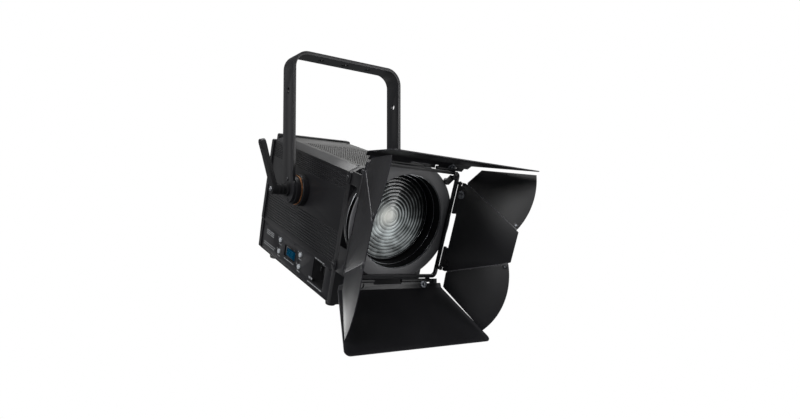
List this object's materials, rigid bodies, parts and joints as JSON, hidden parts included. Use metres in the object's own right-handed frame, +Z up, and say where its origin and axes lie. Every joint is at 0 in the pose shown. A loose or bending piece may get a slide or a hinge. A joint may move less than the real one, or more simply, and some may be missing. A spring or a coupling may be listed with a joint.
{
  "type": "fresnel spotlight",
  "caption": "Stage fresnel spotlight: ribbed housing with side control panel, stepped lens and barn doors with folding wings, hung nose-down in a flat-bar yoke.",
  "frame": {"origin": "middle of the yoke's top face, where its bolt hole comes out", "axes": "+Z up, out of the yoke's top face; +X along the yoke's bar and the tilt axis; -Y is the way the lens faces, 17.7 degrees below level"},
  "size_m": [0.2915, 0.4692, 0.4376],
  "materials": {
    "black_steel": "satin",
    "black_aluminium": "satin",
    "grey_ring": "satin",
    "roof_paint": "matte",
    "bare_aluminium": "satin",
    "bare_steel": "satin",
    "copper_washer": "satin",
    "black_plastic": "matte",
    "foot_rubber": "matte",
    "button_metal": "satin",
    "display_window": "gloss",
    "board": "satin",
    "lens_glass": "polished",
    "emitter": "gloss"
  },
  "bodies": {
    "yoke": {"yoke": "black_steel", "pivot_bolt_right": "bare_steel", "pivot_bolt_left": "bare_steel", "pivot_disc_right": "black_steel", "pivot_disc_left": "black_steel"},
    "clamp_lever": {"clamp_lever": "black_plastic"},
    "housing": {"lens_barrel": "black_aluminium", "fresnel_lens": "lens_glass", "lens_retaining_ring": "black_steel", "accessory_ring": "grey_ring", "accessory_bracket": "black_steel", "ring_stay": "black_steel", "barndoor_frame": "black_steel", "guide_rod_right": "bare_steel", "guide_rod_left": "bare_steel", "focus_motor": "bare_aluminium", "friction_washer_right": "copper_washer", "pivot_boss_right": "black_aluminium", "friction_washer_left": "copper_washer", "pivot_boss_left": "black_aluminium", "side_extrusion_right": "black_aluminium", "side_extrusion_left": "black_aluminium", "roof_cover": "roof_paint", "base_plate": "black_steel", "chassis_tray": "bare_aluminium", "rear_cover": "black_aluminium", "front_casting": "black_aluminium", "control_panel": "black_steel", "right_panel": "black_steel", "foot_front_left": "foot_rubber", "foot_front_right": "foot_rubber", "foot_rear_left": "foot_rubber", "foot_rear_right": "foot_rubber", "display": "display_window", "connector_bay": "black_plastic", "power_inlet": "black_plastic", "data_socket_in": "black_plastic", "data_socket_out": "black_plastic", "control_board": "board", "fan_frame": "black_plastic", "power_supply": "bare_aluminium", "driver_board": "board"},
    "accessory_latch": {"accessory_latch": "black_steel"},
    "leaf_top": {"leaf_top": "black_steel"},
    "leaf_bottom": {"leaf_bottom": "black_steel"},
    "leaf_right": {"leaf_right": "black_steel"},
    "leaf_left": {"leaf_left": "black_steel"},
    "wing_right_upper": {"wing_right_upper": "black_steel"},
    "wing_right_lower": {"wing_right_lower": "black_steel"},
    "wing_left_upper": {"wing_left_upper": "black_steel"},
    "wing_left_lower": {"wing_left_lower": "black_steel"},
    "button_up": {"button_up": "button_metal"},
    "button_down": {"button_down": "button_metal"},
    "button_menu": {"button_menu": "button_metal"},
    "button_enter": {"button_enter": "button_metal"},
    "focus_carriage": {"focus_carriage": "bare_aluminium", "heat_sink": "bare_aluminium", "led_module": "emitter"},
    "lead_screw": {"lead_screw": "bare_steel"},
    "fan_rotor": {"fan_rotor": "black_plastic"}
  },
  "joints": [
    {"name": "tilt", "type": "hinge", "parent": "yoke", "child": "housing", "pos_m": [0, 0, -0.215], "axis": [1, 0, 0], "range_deg": [-65, 85]},
    {"name": "clamp_lever_turn", "type": "hinge", "parent": "yoke", "child": "clamp_lever", "pos_m": [-0.1155, 0, -0.215], "axis": [1, 0, 0], "range_deg": [-120, 120]},
    {"name": "leaf_top_hinge", "type": "hinge", "parent": "housing", "child": "leaf_top", "pos_m": [0.00297, -0.18951, -0.18789], "axis": [-0.9994, -0.0106, 0.0332], "range_deg": [-2, 80]},
    {"name": "leaf_bottom_hinge", "type": "hinge", "parent": "housing", "child": "leaf_bottom", "pos_m": [-0.00297, -0.13786, -0.34974], "axis": [0.9994, 0.0106, -0.0332], "range_deg": [-2, 70]},
    {"name": "leaf_right_hinge", "type": "hinge", "parent": "housing", "child": "leaf_right", "pos_m": [0.08495, -0.16279, -0.27164], "axis": [0.0349, -0.3038, 0.9521], "range_deg": [-10, 80]},
    {"name": "leaf_left_hinge", "type": "hinge", "parent": "housing", "child": "leaf_left", "pos_m": [-0.08495, -0.16459, -0.26599], "axis": [-0.0349, 0.3038, -0.9521], "range_deg": [-25, 80]},
    {"name": "wing_right_upper_fold", "type": "hinge", "parent": "leaf_right", "child": "wing_right_upper", "pos_m": [0.09073, -0.19167, -0.2086], "axis": [0.3226, -0.6619, -0.6766], "range_deg": [-60, 8]},
    {"name": "wing_right_lower_fold", "type": "hinge", "parent": "leaf_right", "child": "wing_right_lower", "pos_m": [0.08591, -0.14973, -0.33998], "axis": [-0.3527, 0.9243, -0.1456], "range_deg": [-40, 80]},
    {"name": "wing_left_upper_fold", "type": "hinge", "parent": "leaf_left", "child": "wing_left_upper", "pos_m": [-0.08591, -0.19354, -0.20272], "axis": [0.3527, 0.6691, 0.6541], "range_deg": [-40, 80]},
    {"name": "wing_left_lower_fold", "type": "hinge", "parent": "leaf_left", "child": "wing_left_lower", "pos_m": [-0.09073, -0.15161, -0.33411], "axis": [-0.3226, -0.9315, 0.1681], "range_deg": [-40, 80]},
    {"name": "accessory_latch_turn", "type": "hinge", "parent": "housing", "child": "accessory_latch", "pos_m": [0.06364, -0.17846, -0.20673], "axis": [0.7071, 0.215, -0.6736], "range_deg": [0, 75], "stiffness_Nm_per_rad": 0.02, "springref_deg": -14.32},
    {"name": "button_up_press", "type": "slide", "parent": "housing", "child": "button_up", "axis": [1, 0, 0], "range_m": [0, 0.001], "stiffness_N_per_m": 600, "springref_m": -0.0005},
    {"name": "button_down_press", "type": "slide", "parent": "housing", "child": "button_down", "axis": [1, 0, 0], "range_m": [0, 0.001], "stiffness_N_per_m": 600, "springref_m": -0.0005},
    {"name": "button_menu_press", "type": "slide", "parent": "housing", "child": "button_menu", "axis": [1, 0, 0], "range_m": [0, 0.001], "stiffness_N_per_m": 600, "springref_m": -0.0005},
    {"name": "button_enter_press", "type": "slide", "parent": "housing", "child": "button_enter", "axis": [1, 0, 0], "range_m": [0, 0.001], "stiffness_N_per_m": 600, "springref_m": -0.0005},
    {"name": "focus_travel", "type": "slide", "parent": "housing", "child": "focus_carriage", "axis": [0, -0.9527, -0.304], "range_m": [-0.026, 0.026]},
    {"name": "lead_screw_turn", "type": "hinge", "parent": "housing", "child": "lead_screw", "pos_m": [0, -0.00363, -0.27337], "axis": [0, -0.9527, -0.304], "range_deg": [-940, 940]},
    {"name": "fan_spin", "type": "hinge", "parent": "housing", "child": "fan_rotor", "pos_m": [0, 0.09896, -0.16977], "axis": [0, -0.9527, -0.304], "continuous": true}
  ],
  "couplings": [
    {"joint": "lead_screw_turn", "follows": "focus_travel", "rad_per_m": 628.32}
  ]
}
